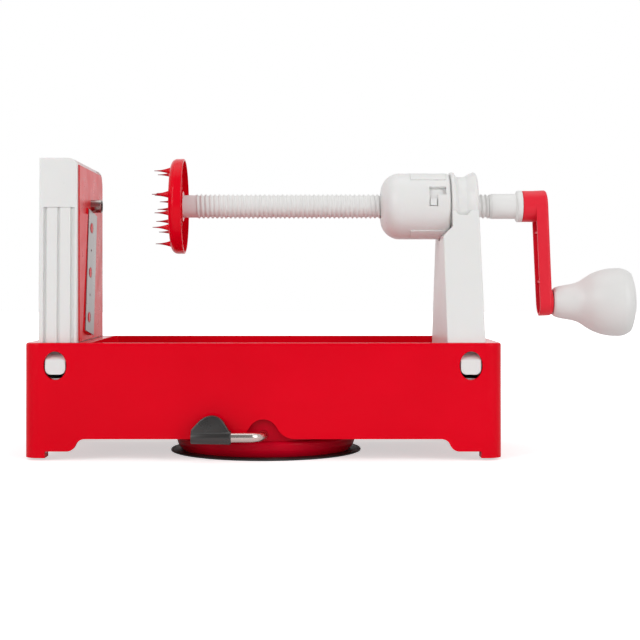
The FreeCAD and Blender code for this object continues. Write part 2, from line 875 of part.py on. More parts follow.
def latch_finger(x):
    """Spring finger at the -Y side; its tab fills the oval hole in the base wall."""
    y_in = -latch_pivot_y + latch_arm / 2
    y_out = -latch_pivot_y - latch_arm / 2
    face_y = -half_width + latch_recess
    top = base_z + latch_tab_top
    low = base_z + latch_tab_bottom
    outline = [
        (y_in, latch_pivot_z),
        (y_in, low),
        (face_y, low),
        (face_y, top),
        (face_y + latch_tab_slope, top + latch_tab_slope * 0.75),
        (y_out, top + latch_tab_rise),
        (y_out, latch_pivot_z),
    ]
    finger = prism_x(outline, x - latch_width / 2, x + latch_width / 2)
    tab_edges = []
    for edge in finger.Edges:
        bounds = edge.BoundBox
        along_y = bounds.XLength < 0.01 and bounds.ZLength < 0.01
        if along_y and abs(bounds.ZMin - low) < 0.01:
            tab_edges.append(edge)
    finger = finger.makeFillet(latch_tab_corner, tab_edges)
    wall_y = -inner_half_width + free_gap
    tab = finger.common(box(x - latch_width, x + latch_width, -base_width, wall_y, 0, rim_z))
    tab = tab.common(latch_oval(x, free_gap, base_width))
    arm = finger.cut(box(x - latch_width, x + latch_width, -base_width, wall_y, 0, rim_z))
    finger = arm.fuse(tab)
    reach = latch_width / 2 + latch_pivot_overhang
    return fuse_all([finger, cyl_x(latch_pivot_radius, x - reach, x + reach,
                                   -latch_pivot_y, latch_pivot_z)])


def with_latch_seats(tower, x):
    """Hollow the foot of a tower at both ends for its two spring fingers."""
    ears = latch_ears(x)
    pieces = [tower] + ears + [mirror_y(e) for e in ears]
    body = fuse_all(pieces)
    tools = [latch_window(x), latch_pivot_hole(x)]
    tools += [mirror_y(t) for t in tools]
    return cut_all(body, tools)


def tower_hollow(x0, x1, top):
    reach = tower_foot_width / 2 - tower_skin
    return box(x0 + tower_skin, x1 - tower_skin, -reach, reach, floor_z1 - 1, top)


def blade_tower():
    foot = tower_foot_width / 2
    top_half = blade_tower_top_width / 2
    top = base_z + blade_tower_height
    outline = [(-foot, floor_z1), (foot, floor_z1), (foot, rim_z), (top_half, top),
               (-top_half, top), (-foot, rim_z)]
    body = prism_x(outline, blade_x0, blade_x1)
    ridge = [e for e in body.Edges
             if e.BoundBox.ZMin > top - 0.01 and e.BoundBox.XMin > blade_x1 - 0.01]
    body = body.makeFillet(blade_tower_top_round, ridge)
    body = body.makeFillet(tower_edge, outer_edges(body, (blade_x0, blade_x1)))

    half_window = window_width / 2
    window_z0 = rim_z + window_bottom
    window_z1 = top - window_top
    window = box(blade_x0 - 1, blade_x1 + 1, -half_window, half_window, window_z0, window_z1)
    corners = [e for e in window.Edges if e.BoundBox.XLength > tower_thickness]
    window = window.makeFillet(window_corner_r, corners)
    recess_half = plate_width / 2 + slip
    recess = box(plate_x0 - slip / 2, blade_x1 + 1, -recess_half, recess_half, rim_z, top + 1)
    tongue_x0, tongue_x1 = tongue_span()
    groove = box(tongue_x0 - slip / 2, tongue_x1 + slip / 2, -recess_half - tongue,
                 recess_half + tongue, rim_z, top + 1)

    tools = [window, recess, groove, tower_hollow(blade_x0, plate_x0 + 0.2, insert_top)]
    tools += side_panels()
    body = cut_all(body, tools)
    return with_latch_seats(body, -latch_x)


def tongue_span():
    middle = plate_x0 + 1.4
    return middle - tongue_thickness / 2, middle + tongue_thickness / 2


def side_panels():
    """Recesses in the tower's two narrow sides, each left with two upright strips."""
    foot = tower_foot_width / 2
    top_half = blade_tower_top_width / 2
    top = base_z + blade_tower_height
    panel_z = base_z + panel_top
    slope = (foot - top_half) / (top - rim_z)
    x0 = blade_x0 + panel_inset
    x1 = x0 + panel_width
    low = rim_z - 2.0

    def band(xa, xb, depth, high):
        y_low = -foot + slope * (low - rim_z)
        y_high = -foot + slope * (high - rim_z)
        return prism_x([(y_low - 3, low), (y_low + depth, low), (y_high + depth, high),
                        (y_high - 3, high)], xa, xb)
    recess = band(x0, x1, panel_depth, panel_z)
    strips = []
    first = x0 + panel_strip_gap
    for start in (first, first + panel_strip + panel_strip_gap * 0.9):
        strip = band(start, start + panel_strip, panel_depth + 1, panel_z + 1)
        outer = band(start - 1, start + panel_strip + 1, panel_depth * 0.35, panel_z + 2)
        strips.append(strip.cut(outer))
    near = cut_all(recess, strips)
    return [near, mirror_y(near)]


def flank_slope():
    """Inward lean of the leg's flanks, from the foot to where they run into the head."""
    meet_y = math.sqrt(head_radius ** 2 - flank_meet_drop ** 2)
    return (tower_foot_width / 2 - meet_y) / (axis_z - flank_meet_drop - rim_z)


def leg_outline(inset, low, high):
    """A-shaped leg between two heights, drawn in by inset."""
    foot = tower_foot_width / 2
    slope = flank_slope()
    lean = math.sqrt(1 + slope * slope)
    right = []
    for z in (low, rim_z, high):
        if z <= rim_z:
            y = foot - inset
        else:
            y = foot - slope * (z - rim_z) - inset * lean
        right.append((y, z))
    left = [(-y, z) for y, z in reversed(right)]
    return right + left


def outer_edges(solid, x_faces):
    """Edges of a tower that run up its corners, on the faces at the given x."""
    found = []
    for edge in solid.Edges:
        bounds = edge.BoundBox
        upright = bounds.ZLength > bounds.YLength and bounds.XLength < 0.01
        if upright and any(abs(bounds.XMin - x) < 0.01 for x in x_faces):
            found.append(edge)
    return found


def crank_leg():
    """Leg of the crank tower, hollow from below, with a sloping shoulder under the collar."""
    leg = prism_x(leg_outline(0, floor_z1, axis_z - flank_meet_drop), crank_x0, crank_x1)
    leg = leg.makeFillet(tower_edge, outer_edges(leg, (crank_x0, crank_x1)))
    shoulder_top = axis_z - shoulder_drop
    shoulder_low = shoulder_top - (head_x0 - crank_x0)
    shoulder = prism_y([(crank_x0 - 1, shoulder_low - 1), (head_x0, shoulder_top),
                        (head_x0, axis_z), (crank_x0 - 1, axis_z)], -half_width, half_width)
    pocket_radius = collar_radius + collar_pocket_gap
    pocket = cyl_x(pocket_radius, crank_x0 - 1, head_x0, 0, axis_z)
    hollow = prism_x(leg_outline(tower_skin, floor_z1 - 1, axis_z - pocket_radius - tower_skin),
                     crank_x0 + tower_skin, crank_x1 - tower_skin)
    return cut_all(leg, [shoulder, pocket, hollow])


def head_tongue():
    """Round-ended cut that carries the head's groove down the leg's front face."""
    middle = head_x0 + (head_groove_start + head_groove_end) / 2
    x0 = middle - tongue_width / 2
    low = axis_z - tongue_bottom
    cut = box(x0, x0 + tongue_width, -half_width, -head_groove_radius * 0.95, low, axis_z)
    corners = []
    for edge in cut.Edges:
        bounds = edge.BoundBox
        if bounds.YLength > 1 and bounds.ZMax < low + 0.01:
            corners.append(edge)
    return cut.makeFillet(tongue_corner_r, corners)


def crank_tower():
    groove = head_groove_radius
    rise = head_radius - groove
    x0 = head_x0
    head_points = [
        xr(x0, shaft_bore - 1),
        xr(x0, head_radius - head_edge),
        (xr(x0, head_radius - head_edge), xr(x0 + head_flange * 0.4, head_radius),
         xr(x0 + head_flange, head_radius - head_edge)),
        xr(x0 + head_groove_start, groove + groove_hollow),
        (xr(x0 + head_groove_start, groove + groove_hollow),
         xr(x0 + (head_groove_start + head_groove_end) / 2, groove),
         xr(x0 + head_groove_end, groove + groove_hollow)),
        (xr(x0 + head_groove_end, groove + groove_hollow),
         xr(x0 + (head_groove_end + head_ridge) / 2, groove + rise * ridge_hollow),
         xr(x0 + head_ridge, head_radius)),
        (xr(x0 + head_ridge, head_radius), xr(x0 + head_length - 0.6, head_radius - 0.5),
         xr(x0 + head_length, head_radius - 1.6)),
        xr(x0 + head_length, shaft_bore - 1),
    ]
    head = turned_about_shaft(head_points)
    barrel = cyl_x(barrel_radius, barrel_x0, head_x0 + 1, 0, axis_z)
    edge = [e for e in barrel.Edges if e.BoundBox.XMax < barrel_x0 + 0.01]
    barrel = barrel.makeChamfer(barrel_chamfer, edge)
    lug_mid = 180 - lug_centre_angle
    lug = sector(barrel_radius - 1, lug_radius, lug_x0(), lug_x0() + lug_length,
                 lug_mid - lug_angle / 2, lug_mid + lug_angle / 2)
    tongue_cut = head_tongue()
    leg = cut_all(crank_leg(), [tongue_cut, mirror_y(tongue_cut)])
    body = fuse_all([leg, head, barrel, lug, turn_half_about_shaft(lug)])
    bore = cyl_x(shaft_bore, barrel_x0 - 1, crank_x1 + 1, 0, axis_z)
    nut_room = nut_half_width + free_gap
    nut_pocket = box(nut_x0 - slip, nut_x1 + slip, -nut_room, nut_room,
                     axis_z - head_radius, axis_z + head_radius)
    body = cut_all(body, [bore, nut_pocket])
    return with_latch_seats(body, latch_x)


def lug_x0():
    return collar_x1 - lug_inset


# ---------------------------------------------------------------- collar and split nut


def cam_rib():
    """Rib inside the collar that holds a half nut in; its face falls away as the collar turns."""
    pad_half = math.degrees(math.asin(nut_pad_half_width / nut_pad_radius))
    last = 90 + pad_half
    points = []
    for step in range(6):
        turned = collar_turn * step / 5
        radius = cam_radius + nut_lift * turned / collar_turn
        turn = math.radians(last - turned)
        points.append((radius * math.cos(turn), axis_z + radius * math.sin(turn)))
    outer = collar_bore + 0.5
    far = last + 2.0
    points.append((outer * math.cos(math.radians(last - collar_turn)),
                   axis_z + outer * math.sin(math.radians(last - collar_turn))))
    points.append((outer * math.cos(math.radians(far)), axis_z + outer * math.sin(math.radians(far))))
    points.append((cam_radius * math.cos(math.radians(far)),
                   axis_z + cam_radius * math.sin(math.radians(far))))
    return prism_x(points, nut_x0 + cam_inset, nut_x1 - cam_inset)


def release_collar():
    hole = crest_radius + collar_hole_gap
    centre_x = collar_x0 + collar_round
    centre_r = collar_radius - collar_round
    inner_round = collar_round - collar_wall
    points = [
        xr(collar_x0, hole),
        arc_points(centre_x, centre_r, collar_round, 180, 90, xr),
        xr(collar_x1 - collar_edge, collar_radius),
        xr(collar_x1, collar_radius - collar_edge),
        xr(collar_x1, collar_bore),
        arc_points(centre_x, centre_r, inner_round, 90, 180, xr),
        xr(collar_x0 + collar_wall, hole),
    ]
    body = turned_about_shaft(points)
    rib = cam_rib()
    pieces = [body, rib, turn_half_about_shaft(rib)]
    half_pad = math.degrees(pad_width / 2 / collar_radius)
    for angle in (pad_angle, 180 - pad_angle, 180 + pad_angle, 360 - pad_angle):
        pieces.append(sector(collar_radius - 0.6, collar_radius + pad_height,
                             collar_x1 - pad_inset - pad_length, collar_x1 - pad_inset,
                             angle - half_pad, angle + half_pad))
    body = fuse_all(pieces)

    # Bayonet slot: a turning leg, a leg along the shaft and a groove out of the open end.
    gap_angle = math.degrees(slot_gap / collar_radius)
    lug_mid = 180 - lug_centre_angle
    low_end = lug_mid + lug_angle / 2 + gap_angle
    high_end = lug_mid - lug_angle / 2 - collar_turn - gap_angle
    leg_low = high_end + lug_angle + 2 * gap_angle
    x0 = lug_x0() - slot_gap
    x1 = lug_x0() + lug_length + slot_gap
    outside = collar_radius + pad_height + 1
    turning = sector(collar_bore - 1, outside, x0, x1, high_end, low_end)
    along = sector(collar_bore - 1, outside, x0, x1 + slot_run, high_end, leg_low)
    entry = sector(collar_bore - 1, lug_radius + 0.15, x1, collar_x1 + 1, high_end, leg_low)
    tools = [turning, along, entry]
    tools += [turn_half_about_shaft(t) for t in tools]
    return cut_all(body, tools)


def screw_body():
    """Round bar with one right-hand round groove that runs out at both ends."""
    length = thread_end_x - thread_start_x
    helix = Part.makeLongHelix(pitch, length + 2 * pitch, crest_radius, 0, False)
    rise = 0.4
    flare = groove_half_width * (1 + rise / thread_depth / 2)
    top_low = V(crest_radius + rise, 0, -flare)
    top_high = V(crest_radius + rise, 0, flare)
    arc = Part.Arc(top_low, V(root_radius, 0, 0), top_high).toShape()
    section = Part.Wire([arc, Part.LineSegment(top_high, top_low).toShape()])
    groove = Part.Wire(helix.Edges).makePipeShell([section], True, True)
    bar = Part.makeCylinder(crest_radius, length, V(0, 0, pitch)).cut(groove)
    bar.rotate(V(0, 0, 0), V(0, 1, 0), 90)
    bar.translate(V(thread_start_x - pitch, 0, axis_z))
    return bar


def nut_bore():
    """Bore of the split nut: ring grooves at the screw's pitch, clear of its crest."""
    crest = crest_radius + free_gap
    count = math.ceil(nut_length / pitch) + 1
    start = nut_x0 - (count * pitch - nut_length) / 2
    points = [xr(start - 1, 0), xr(start - 1, crest)]
    for index in range(count):
        x = start + index * pitch
        points.append(xr(x, crest))
        points.append(xr(x + pitch / 2, crest + nut_thread_depth))
    points.append(xr(start + count * pitch, crest))
    points.append(xr(start + count * pitch + 1, crest))
    points.append(xr(start + count * pitch + 1, 0))
    return turned_about_shaft(points)


def half_nuts():
    """Upper and lower half of the split nut, cut apart from one threaded block."""
    reach = math.sqrt(nut_pad_radius ** 2 - nut_pad_half_width ** 2)
    block = box(nut_x0, nut_x1, -nut_half_width, nut_half_width,
                axis_z - nut_shoulder, axis_z + nut_shoulder)
    pads = box(nut_x0 + nut_pad_inset, nut_x1 - nut_pad_inset, -nut_pad_half_width, nut_pad_half_width,
               axis_z - reach, axis_z + reach)
    tools = [nut_bore()]
    for x, y in nut_spring_places():
        tools.append(cyl_z(nut_spring_radius + 0.15, axis_z - nut_spring_seat,
                           axis_z + nut_spring_seat, x, y))
    whole = cut_all(fuse_all([block, pads]), tools)
    apart = nut_part_gap / 2
    upper = whole.common(box(nut_x0 - 1, nut_x1 + 1, -head_radius, head_radius,
                             axis_z + apart, axis_z + head_radius))
    lower = whole.common(box(nut_x0 - 1, nut_x1 + 1, -head_radius, head_radius,
                             axis_z - head_radius, axis_z - apart))
    return upper, lower


def nut_spring_places():
    y = nut_half_width - nut_spring_radius - 0.9
    inset = 3.0
    return [(x, s * y) for x in (nut_x0 + inset, nut_x1 - inset) for s in (-1, 1)]


def nut_springs():
    """Small coil springs between the half nuts, each made of stacked wire rings on a stem."""
    springs = []
    half = nut_spring_seat - 0.2
    for x, y in nut_spring_places():
        stem = cyl_z(nut_spring_radius - nut_spring_wire, axis_z - half, axis_z + half, x, y)
        rings = [stem]
        for turn in range(nut_spring_turns):
            z = axis_z - half + nut_spring_wire + turn * (2 * half - 2 * nut_spring_wire) \
                / (nut_spring_turns - 1)
            ring = Part.makeTorus(nut_spring_radius - nut_spring_wire, nut_spring_wire, V(x, y, z))
            rings.append(ring)
        springs.append(fuse_all(rings))
    return Part.makeCompound(springs)


# ---------------------------------------------------------------- shaft, disc and crank


def threaded_shaft():
    thread = screw_body()
    edge = 0.6
    neck = turned_about_shaft([
        xr(neck_x0, 1), xr(neck_x0, neck_radius - edge), xr(neck_x0 + edge, neck_radius),
        xr(thread_start_x + 1, neck_radius), xr(thread_start_x + 1, 1)])
    tail = turned_about_shaft([
        xr(thread_end_x - 1, 1), xr(thread_end_x - 1, crest_radius - 0.2),
        xr(thread_end_x, crest_radius), xr(thread_end_x + 0.8, plain_radius),
        xr(plain_x1, plain_radius), xr(plain_x1 + 0.6, flange_radius - 0.6),
        xr(plain_x1 + 1.2, flange_radius), xr(flange_x1, flange_radius), xr(flange_x1, 1)])
    spigot = hexagon_x(spigot_flats, flange_x1 - 1, flange_x1 + spigot_length)
    body = fuse_all([thread, neck, tail, spigot])
    bore = cyl_x(tie_radius + run_fit, neck_x0 - 1, flange_x1 + spigot_length + 1, 0, axis_z)
    return body.cut(bore)


def spike():
    """Thorn with a wide foot, pointing to -X from x = 0 on the shaft axis."""
    return turned_about_shaft([
        xr(bed, 0),
        xr(bed, spike_radius),
        (xr(0, spike_radius), xr(-spike_length * 0.4, spike_waist), xr(-spike_length, spike_tip)),
        xr(-spike_length, 0),
    ])


def spiked_disc():
    x0 = disc_left_x
    x1 = disc_right_x
    hub_top = x1 - 1.0
    step = disc_round * (1 - math.sqrt(0.5))
    shell = turned_about_shaft([
        xr(x0, tie_radius + run_fit),
        xr(x0, disc_radius - disc_round),
        (xr(x0, disc_radius - disc_round), xr(x0 + step, disc_radius - step),
         xr(x0 + disc_round, disc_radius)),
        xr(x1 - 0.4, disc_radius),
        xr(x1, disc_radius - 0.4),
        xr(x1, disc_radius - disc_rim),
        xr(x0 + disc_floor + 1.5, disc_radius - disc_rim),
        xr(x0 + disc_floor, disc_radius - disc_rim - 1.5),
        xr(x0 + disc_floor, disc_hub_radius),
        xr(hub_top, disc_hub_radius),
        xr(hub_top, neck_radius + run_fit),
        xr(neck_x0 - 0.05, neck_radius + run_fit),
        xr(neck_x0 - 0.05, tie_radius + run_fit),
    ])
    pieces = [shell]
    for radius, count, first in spike_rings:
        for index in range(count):
            turn = math.radians(first + 360.0 * index / count)
            thorn = spike()
            thorn.translate(V(x0, radius * math.cos(turn), radius * math.sin(turn)))
            pieces.append(thorn)
    for step_angle in range(0, 360, 60):
        rib = box(x0 + disc_floor - 0.3, x1 - 2.5, -0.7, 0.7, axis_z + disc_hub_radius - 0.5,
                  axis_z + disc_radius - disc_rim + 0.3)
        rib.rotate(V(0, 0, axis_z), V(1, 0, 0), step_angle + 30)
        pieces.append(rib)
    body = fuse_all(pieces)
    counterbore = cyl_x(tie_head_radius + free_gap, x0 - 1, x0 + tie_head_length, 0, axis_z)
    return body.cut(counterbore)


def tie_rod():
    """Steel rod through the hollow shaft; it clamps disc, shaft and crank together."""
    end = arm_x1 - 0.6
    head = cyl_x(tie_head_radius, disc_left_x + 0.2, disc_left_x + tie_head_length - 0.05, 0, axis_z)
    edge = [e for e in head.Edges if e.BoundBox.XMax < disc_left_x + 0.21]
    head = head.makeFillet(0.8, edge)
    rod = cyl_x(tie_radius, disc_left_x + 1, end, 0, axis_z)
    socket = hexagon_x(4.0, disc_left_x, disc_left_x + 2.0)
    return fuse_all([head, rod]).cut(socket)


def crank_nut():
    x1 = arm_x1 - 0.3
    x0 = arm_x1 - nut_pocket_depth + 0.05
    body = hexagon_x(nut_flats, x0, x1)
    round_end = cyl_x(nut_flats / math.sqrt(3) - 0.25, x0, x1, 0, axis_z)
    edge = [e for e in round_end.Edges if e.BoundBox.XMin > x1 - 0.01]
    round_end = round_end.makeChamfer(0.5, edge)
    body = body.common(round_end)
    return body.cut(cyl_x(tie_radius + run_fit, x0 - 1, x1 + 1, 0, axis_z))


def arm_outline(top_r, end_r, x):
    """Tapered stadium about the hub and the knob axis, hub at z = 0."""
    tilt = math.asin((top_r - end_r) / crank_radius)
    turn = math.degrees(tilt)

    def at(y, z):
        return V(x, y, z)
    over = arc_points(0, 0, top_r, -turn, 180 + turn, at)
    under = arc_points(0, -crank_radius, end_r, 180 + turn, 360 - turn, at)
    return [over, under]


def crank_arm():
    arm = prism(arm_outline(arm_top_radius, arm_end_radius, 0), V(arm_thickness, 0, 0))
    right_edges = [e for e in arm.Edges if e.BoundBox.XMin > arm_thickness - 0.01]
    arm = arm.makeFillet(arm_edge, right_edges)
    channel = prism(arm_outline(arm_top_radius - arm_wall, arm_end_radius - arm_wall, -1),
                    V(arm_thickness - arm_web + 1, 0, 0))
    arm = arm.cut(channel)
    ribs = []
    for height in arm_rib_heights:
        half = arm_top_radius - arm_wall + 0.4
        ribs.append(box(1.0, arm_thickness - arm_web + 0.3, -half, half,
                        height - arm_rib / 2, height + arm_rib / 2))
    arm = fuse_all([arm] + ribs)
    arm.rotate(V(0, 0, 0), V(0, 1, 0), -arm_lean)
    arm.translate(V(arm_x0, 0, axis_z))
    hub = cyl_x(arm_top_radius - 0.05, hub_x0, arm_x0 + arm_thickness - 1, 0, axis_z)
    left_edge = [e for e in hub.Edges if e.BoundBox.XMax < hub_x0 + 0.01]
    hub = hub.makeFillet(hub_edge, left_edge)
    boss = cyl_x(boss_radius, arm_x1 + arm_shift - 1.5, boss_x1, 0, knob_z)
    boss_edge = [e for e in boss.Edges if e.BoundBox.XMin > boss_x1 - 0.01]
    boss = boss.makeFillet(hub_edge, boss_edge)
    body = fuse_all([arm, hub, boss])
    tools = [
        hexagon_x(spigot_flats + 0.2, hub_x0 - 1, flange_x1 + spigot_length + 0.3),
        cyl_x(tie_radius + run_fit, hub_x0, arm_x1 + 1, 0, axis_z),
        hexagon_x(nut_flats + 0.3, arm_x1 - nut_pocket_depth, arm_x1 + 1),
        cyl_x(pin_radius + 0.03, arm_x0, boss_x1 + 1, 0, knob_z),
    ]
    return cut_all(body, tools)


def pin_left_x():
    """Left end of the pin's rivet head, against the arm's web at the knob axis."""
    return arm_x0 + arm_shift + arm_thickness - arm_web - pin_head_length - 0.25


def pin_end_x():
    return knob_x1 - plug_depth - 0.3


def knob_pin():
    x0 = pin_left_x()
    x1 = pin_end_x()
    rivet = cyl_x(pin_head_radius, x0, x0 + pin_head_length, 0, knob_z)
    rivet_edge = [e for e in rivet.Edges if e.BoundBox.XMax < x0 + 0.01]
    rivet = rivet.makeFillet(0.9, rivet_edge)
    shank = cyl_x(pin_radius, x0 + 1, x1 - 0.5, 0, knob_z)
    head = cyl_x(pin_head_radius, x1 - pin_head_length, x1, 0, knob_z)
    return fuse_all([rivet, shank, head])


def turned_about_knob(points):
    solid = turned_about_shaft(points)
    solid.translate(V(0, 0, knob_z - axis_z))
    return solid


def dome_sag(radius):
    """How far the knob's domed end has fallen back at a radius."""
    reach = knob_radius - knob_edge
    sphere = (reach * reach + knob_dome * knob_dome) / (2 * knob_dome)
    return sphere - math.sqrt(sphere * sphere - radius * radius)


def knob_profile_edges():
    """Waisted bell from the neck to the widest ring, then a shallow dome."""
    neck = knob_neck_radius
    wide = knob_radius
    curve = Part.BSplineCurve()
    stations = ((0.02, 0.98), (0.16, 1.17), (0.30, 1.36), (0.44, 1.84), (0.58, 2.17), (0.78, wide / neck))
    points = [xr(knob_x0 + share * knob_length, neck * factor) for share, factor in stations]
    curve.interpolate(Points=points, InitialTangent=V(1, 0, 0.45), FinalTangent=V(1, 0, 0))
    crown = xr(knob_x1, 0)
    shoulder = xr(knob_x1 - knob_dome, wide - knob_edge)
    turn_out = Part.Arc(points[-1], xr(knob_x1 - 2 * knob_dome, wide - 0.22 * knob_edge), shoulder)
    half = (wide - knob_edge) / 2
    dome = Part.Arc(shoulder, xr(knob_x1 - dome_sag(half), half), crown)
    start = points[0]
    return [
        Part.LineSegment(xr(knob_x0, 0), xr(knob_x0, neck * 0.88)).toShape(),
        Part.LineSegment(xr(knob_x0, neck * 0.88), start).toShape(),
        curve.toShape(),
        turn_out.toShape(),
        dome.toShape(),
        Part.LineSegment(crown, xr(knob_x0, 0)).toShape(),
    ]


def knob():
    face = Part.Face(Part.Wire(knob_profile_edges()))
    body = face.revolve(V(0, 0, 0), V(1, 0, 0), 360)
    body.translate(V(0, 0, knob_z))
    seat_x = pin_end_x() - pin_head_length - free_gap
    tools = [
        cyl_x(pin_radius + run_fit, knob_x0 - 1, knob_x1, 0, knob_z),
        cyl_x(plug_radius, seat_x, knob_x1 + 1, 0, knob_z),
    ]
    return cut_all(body, tools)


def knob_plug():
    """Snap-in plug over the pin's head, flush with the knob's domed end."""
    radius = plug_radius - run_fit
    room = pin_head_radius + free_gap
    seat_x = pin_end_x() - pin_head_length - free_gap
    plug = turned_about_knob([
        xr(knob_x1 - plug_depth, 0),
        xr(knob_x1 - plug_depth, room),
        xr(seat_x + 0.1, room),
        xr(seat_x + 0.1, radius),
        xr(knob_x1 - dome_sag(radius), radius),
        (xr(knob_x1 - dome_sag(radius), radius), xr(knob_x1 - dome_sag(radius / 2), radius / 2),
         xr(knob_x1, 0)),
    ])
    return plug


# ---------------------------------------------------------------- blade plate


def lean(shape):
    """Turn a shape drawn upright below the shaft axis to the blade's lean."""
    shape.rotate(V(0, 0, axis_z), V(1, 0, 0), -blade_lean)
    return shape


def strip_height(across):
    """Height of the strip's underside over the plate at a distance from its back edge."""
    return seat_step + across * math.tan(math.radians(strip_slope))


def blade_section(u0, u1, low, high, grow=0.0):
    """Sloping slab across the blade; u runs across it from the shaft axis towards +Y."""
    back = strip_edge - strip_width
    top0 = plate_x1 + strip_height(u0 - back) + grow
    top1 = plate_x1 + strip_height(u1 - back) + grow
    floor0 = plate_x0 if grow == 0 else plate_x1 + strip_height(u0 - back)
    floor1 = plate_x0 if grow == 0 else plate_x1 + strip_height(u1 - back)
    points = [V(floor0, u0, low), V(floor1, u1, low), V(top1, u1, low), V(top0, u0, low)]
    return prism(points, V(0, 0, high - low))


def strip_span():
    high = axis_z - strip_start
    return high - strip_length, high


def stake_places():
    return [axis_z - stake_first - stake_pitch * index for index in range(3)]


def slicing_blade():
    low, high = strip_span()
    back = strip_edge - strip_width
    body = blade_section(back, strip_edge, low, high, strip_thickness)
    bevel_start = strip_edge - 1.6
    wedge_top = plate_x1 + strip_height(bevel_start - back) + strip_thickness
    edge_x = plate_x1 + strip_height(strip_width) + 0.12
    wedge = prism([V(wedge_top, bevel_start, low - 1), V(wedge_top + 2, bevel_start, low - 1),
                   V(edge_x + 2, strip_edge + 1, low - 1), V(edge_x, strip_edge + 0.01, low - 1)],
                  V(0, 0, high - low + 2))
    body = body.cut(wedge)
    middle = (back + strip_edge - 5.5) / 2
    tools = []
    for z in stake_places():
        tools.append(cyl_x(stake_radius + 0.1, plate_x0, plate_x1 + 10, middle, z))
    for z in stake_places()[:-1]:
        tools.append(cyl_x(small_hole_radius, plate_x0, plate_x1 + 10, middle, z - stake_pitch / 2))
    return lean(cut_all(body, tools))


def blade_plate():
    half = plate_width / 2
    body = box(plate_x0, plate_x1, -half, half, plate_z0, plate_z1)
    far_corner = [e for e in body.Edges if e.BoundBox.YMin > half - 0.01
                  and e.BoundBox.ZMin > plate_z1 - 0.01]
    far_corner = [e for e in far_corner if e.BoundBox.XLength > plate_thickness / 2]
    body = body.makeFillet(plate_corner_r, far_corner)
    tongue_x0, tongue_x1 = tongue_span()
    rails = box(tongue_x0, tongue_x1, -half - tongue, half + tongue,
                plate_z0, plate_z1 - plate_corner_r)

    low, high = strip_span()
    back = strip_edge - strip_width
    seat = lean(blade_section(back - 0.6, -seat_end, low - 0.5, high + 0.5))
    stakes = []
    middle = (back + strip_edge - 5.5) / 2
    for z in stake_places():
        top = plate_x1 + strip_height(middle - back) + strip_thickness
        stakes.append(cyl_x(stake_radius, plate_x0, top + 0.1, middle, z))
    stakes = [lean(s) for s in stakes]
    body = fuse_all([body, rails, ramp(), seat] + stakes)

    slot_u0 = -seat_end + 0.5
    slot = box(plate_x0 - 1, plate_x1 + 10, slot_u0, slot_u0 + blade_slot_width,
               low + 1.0, high - 1.0)
    tube_hole = cyl_x(tube_radius + run_fit, plate_x0 - 1, plate_x1 + 1, 0, axis_z)
    return cut_all(body, [lean(slot), tube_hole])


def ramp():
    """Near part of the plate, rising towards the blade's back."""
    half = plate_width / 2
    _, high = strip_span()
    face = [(-half, plate_z0), (ramp_bottom_y, plate_z0), (ramp_top_y, high), (-half, high)]
    block = prism_x(face, plate_x0 + 1, plate_x1 + ramp_height + 3)
    reach = half + ramp_top_y
    slope = ramp_height / reach
    above = prism_z([(plate_x1, -half - 1), (plate_x1, -half), (plate_x1 + slope * half, 0),
                     (plate_x1 + 20, 0), (plate_x1 + 20, -half - 1)], plate_z0 - 1, high + 1)
    return block.cut(above)


def coring_tube():
    x0 = plate_x0
    x1 = plate_x1 + tube_proud
    outer = cyl_x(tube_radius, x0, x1, 0, axis_z)
    tube = outer.cut(cyl_x(tube_radius - tube_wall, x0 - 1, x1 + 1, 0, axis_z))
    inner_edge = [e for e in tube.Edges if e.BoundBox.XMin > x1 - 0.01
                  and e.BoundBox.YMax > tube_radius - 0.01]
    return tube.makeChamfer(tube_wall * 0.7, inner_edge)


# ---------------------------------------------------------------- build


def build():
    upper_nut, lower_nut = half_nuts()
    blade_finger = latch_finger(-latch_x)
    crank_finger = latch_finger(latch_x)
    return {
        "base_tray": base_tray(),
        "suction_housing": suction_housing(),
        "housing_screws": housing_screws(),
        "suction_cup": suction_cup(),
        "cup_stem": cup_stem(),
        "cup_washer": cup_washer(),
        "bearing_caps": bearing_caps(),
        "bearing_screws": bearing_screws(),
        "lever_rod": lever_rod(),
        "lever_handle": lever_handle(),
        "blade_tower": blade_tower(),
        "blade_tower_latch_front": blade_finger,
        "blade_tower_latch_rear": mirror_y(blade_finger),
        "blade_plate": blade_plate(),
        "slicing_blade": slicing_blade(),
        "coring_tube": coring_tube(),
        "crank_tower": crank_tower(),
        "crank_tower_latch_front": crank_finger,
        "crank_tower_latch_rear": mirror_y(crank_finger),
        "release_collar": release_collar(),
        "upper_half_nut": upper_nut,
        "lower_half_nut": lower_nut,
        "nut_springs": nut_springs(),
        "tie_rod": tie_rod(),
        "threaded_shaft": threaded_shaft(),
        "spiked_disc": spiked_disc(),
        "crank_arm": crank_arm(),
        "crank_nut": crank_nut(),
        "knob_pin": knob_pin(),
        "knob": knob(),
        "knob_plug": knob_plug(),
    }


def main():
    os.makedirs("parts", exist_ok=True)
    for node, shape in build().items():
        shape.exportStep("parts/" + node + ".step")
        solids = len(shape.Solids)
        print("%-26s solids %d valid %s volume %.0f" % (node, solids, shape.isValid(), shape.Volume))


main()
